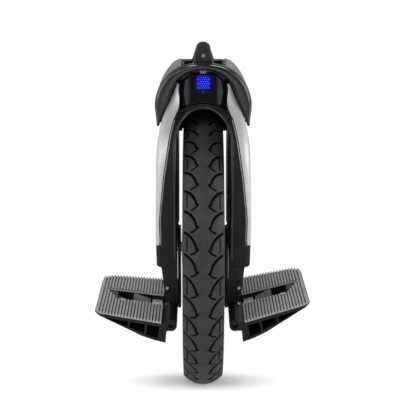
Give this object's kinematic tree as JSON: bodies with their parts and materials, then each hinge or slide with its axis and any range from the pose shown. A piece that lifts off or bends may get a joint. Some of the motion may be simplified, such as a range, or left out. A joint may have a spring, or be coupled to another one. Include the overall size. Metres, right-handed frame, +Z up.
{
  "type": "electric unicycle",
  "caption": "Self-balancing electric unicycle: a hub-motor wheel in a slim silver and black shell with leg pads, a carry handle, a lit front lens and folding ribbed pedals.",
  "frame": {"origin": "point where the tyre meets the ground, under the middle of the axle", "axes": "+X to the right as seen from the front, along the axle; +Y from front to back; +Z up"},
  "size_m": [0.3122, 0.41, 0.5161],
  "materials": {
    "tyre_rubber": "matt moulded rubber",
    "tube_rubber": "matt",
    "cast_alloy": "dark powder coat",
    "bright_steel": "plain steel",
    "black_screws": "black oxide, worn bright on the heads",
    "magnet": "nickel plated",
    "core_steel": "varnished laminations",
    "hub_alloy": "as cast",
    "copper": "enamelled copper wire",
    "valve_brass": "plain brass",
    "black_plastic": "fine moulded grain",
    "silver_shell": "satin silver paint",
    "smoked_lens": "gloss, smoked",
    "board_green": "solder mask",
    "tail_red": "clear red",
    "hood_plastic": "satin moulded",
    "pad_leather": "grained soft pad",
    "button_grey": "satin",
    "hanger_metal": "satin black",
    "battery_wrap": "shrink wrap",
    "pedal_metal": "black powder coat",
    "grip_rubber": "ribbed",
    "magnet_cover": "satin"
  },
  "bodies": {
    "shell_body": {"axle": "bright_steel", "stator_hub": "hub_alloy", "stator_core": "core_steel", "stator_windings": "copper", "left_axle_nut": "bright_steel", "right_axle_nut": "bright_steel", "left_inner_shell": "black_plastic", "right_inner_shell": "black_plastic", "left_side_shell": "silver_shell", "right_side_shell": "silver_shell", "front_lamp_lens": "smoked_lens", "front_led_board": "board_green", "rear_panel": "black_plastic", "tail_lamp": "tail_red", "charge_port": "black_plastic", "top_hood": "hood_plastic", "left_leg_pad": "pad_leather", "right_leg_pad": "pad_leather", "carry_handle": "hood_plastic", "handle_screws": "black_screws", "left_pedal_hanger": "hanger_metal", "right_pedal_hanger": "hanger_metal", "left_hanger_cover": "black_plastic", "right_hanger_cover": "black_plastic", "left_cover_screws": "black_screws", "right_cover_screws": "black_screws", "left_battery_pack": "battery_wrap", "right_battery_pack": "battery_wrap", "control_board": "board_green", "heat_sink": "hub_alloy"},
    "wheel": {"tyre": "tyre_rubber", "inner_tube": "tube_rubber", "rim": "cast_alloy", "left_motor_cover": "cast_alloy", "right_motor_cover": "cast_alloy", "rotor_magnets": "magnet", "left_bearing": "bright_steel", "right_bearing": "bright_steel", "motor_cover_screws": "black_screws", "valve_stem": "valve_brass", "valve_cap": "black_plastic"},
    "left_pedal": {"left_pedal_frame": "pedal_metal", "left_front_grip": "grip_rubber", "left_rear_grip": "grip_rubber", "left_hinge_pin": "bright_steel", "left_latch_bracket": "bright_steel", "left_magnet_block": "magnet_cover", "left_pedal_bolt": "black_screws"},
    "right_pedal": {"right_pedal_frame": "pedal_metal", "right_front_grip": "grip_rubber", "right_rear_grip": "grip_rubber", "right_hinge_pin": "bright_steel", "right_latch_bracket": "bright_steel", "right_magnet_block": "magnet_cover", "right_pedal_bolt": "black_screws"},
    "button": {"power_button": "button_grey"},
    "charge_cap": {"charge_port_cap": "black_plastic"}
  },
  "joints": [
    {"name": "wheel_spin", "type": "hinge", "parent": "shell_body", "child": "wheel", "pos_m": [0, 0, 0.205], "axis": [1, 0, 0], "continuous": true},
    {"name": "left_pedal_fold", "type": "hinge", "parent": "shell_body", "child": "left_pedal", "pos_m": [-0.0459, 0, 0.116], "axis": [0, 1, 0], "range_deg": [0, 62]},
    {"name": "right_pedal_fold", "type": "hinge", "parent": "shell_body", "child": "right_pedal", "pos_m": [0.0459, 0, 0.116], "axis": [0, -1, 0], "range_deg": [-7, 55]},
    {"name": "power_button_press", "type": "slide", "parent": "shell_body", "child": "button", "axis": [0, 1, 0], "range_m": [0, 0.0012], "stiffness_N_per_m": 400},
    {"name": "charge_cap_open", "type": "hinge", "parent": "shell_body", "child": "charge_cap", "pos_m": [0, 0.0675, 0.4515], "axis": [1, 0, 0], "range_deg": [0, 110]}
  ]
}
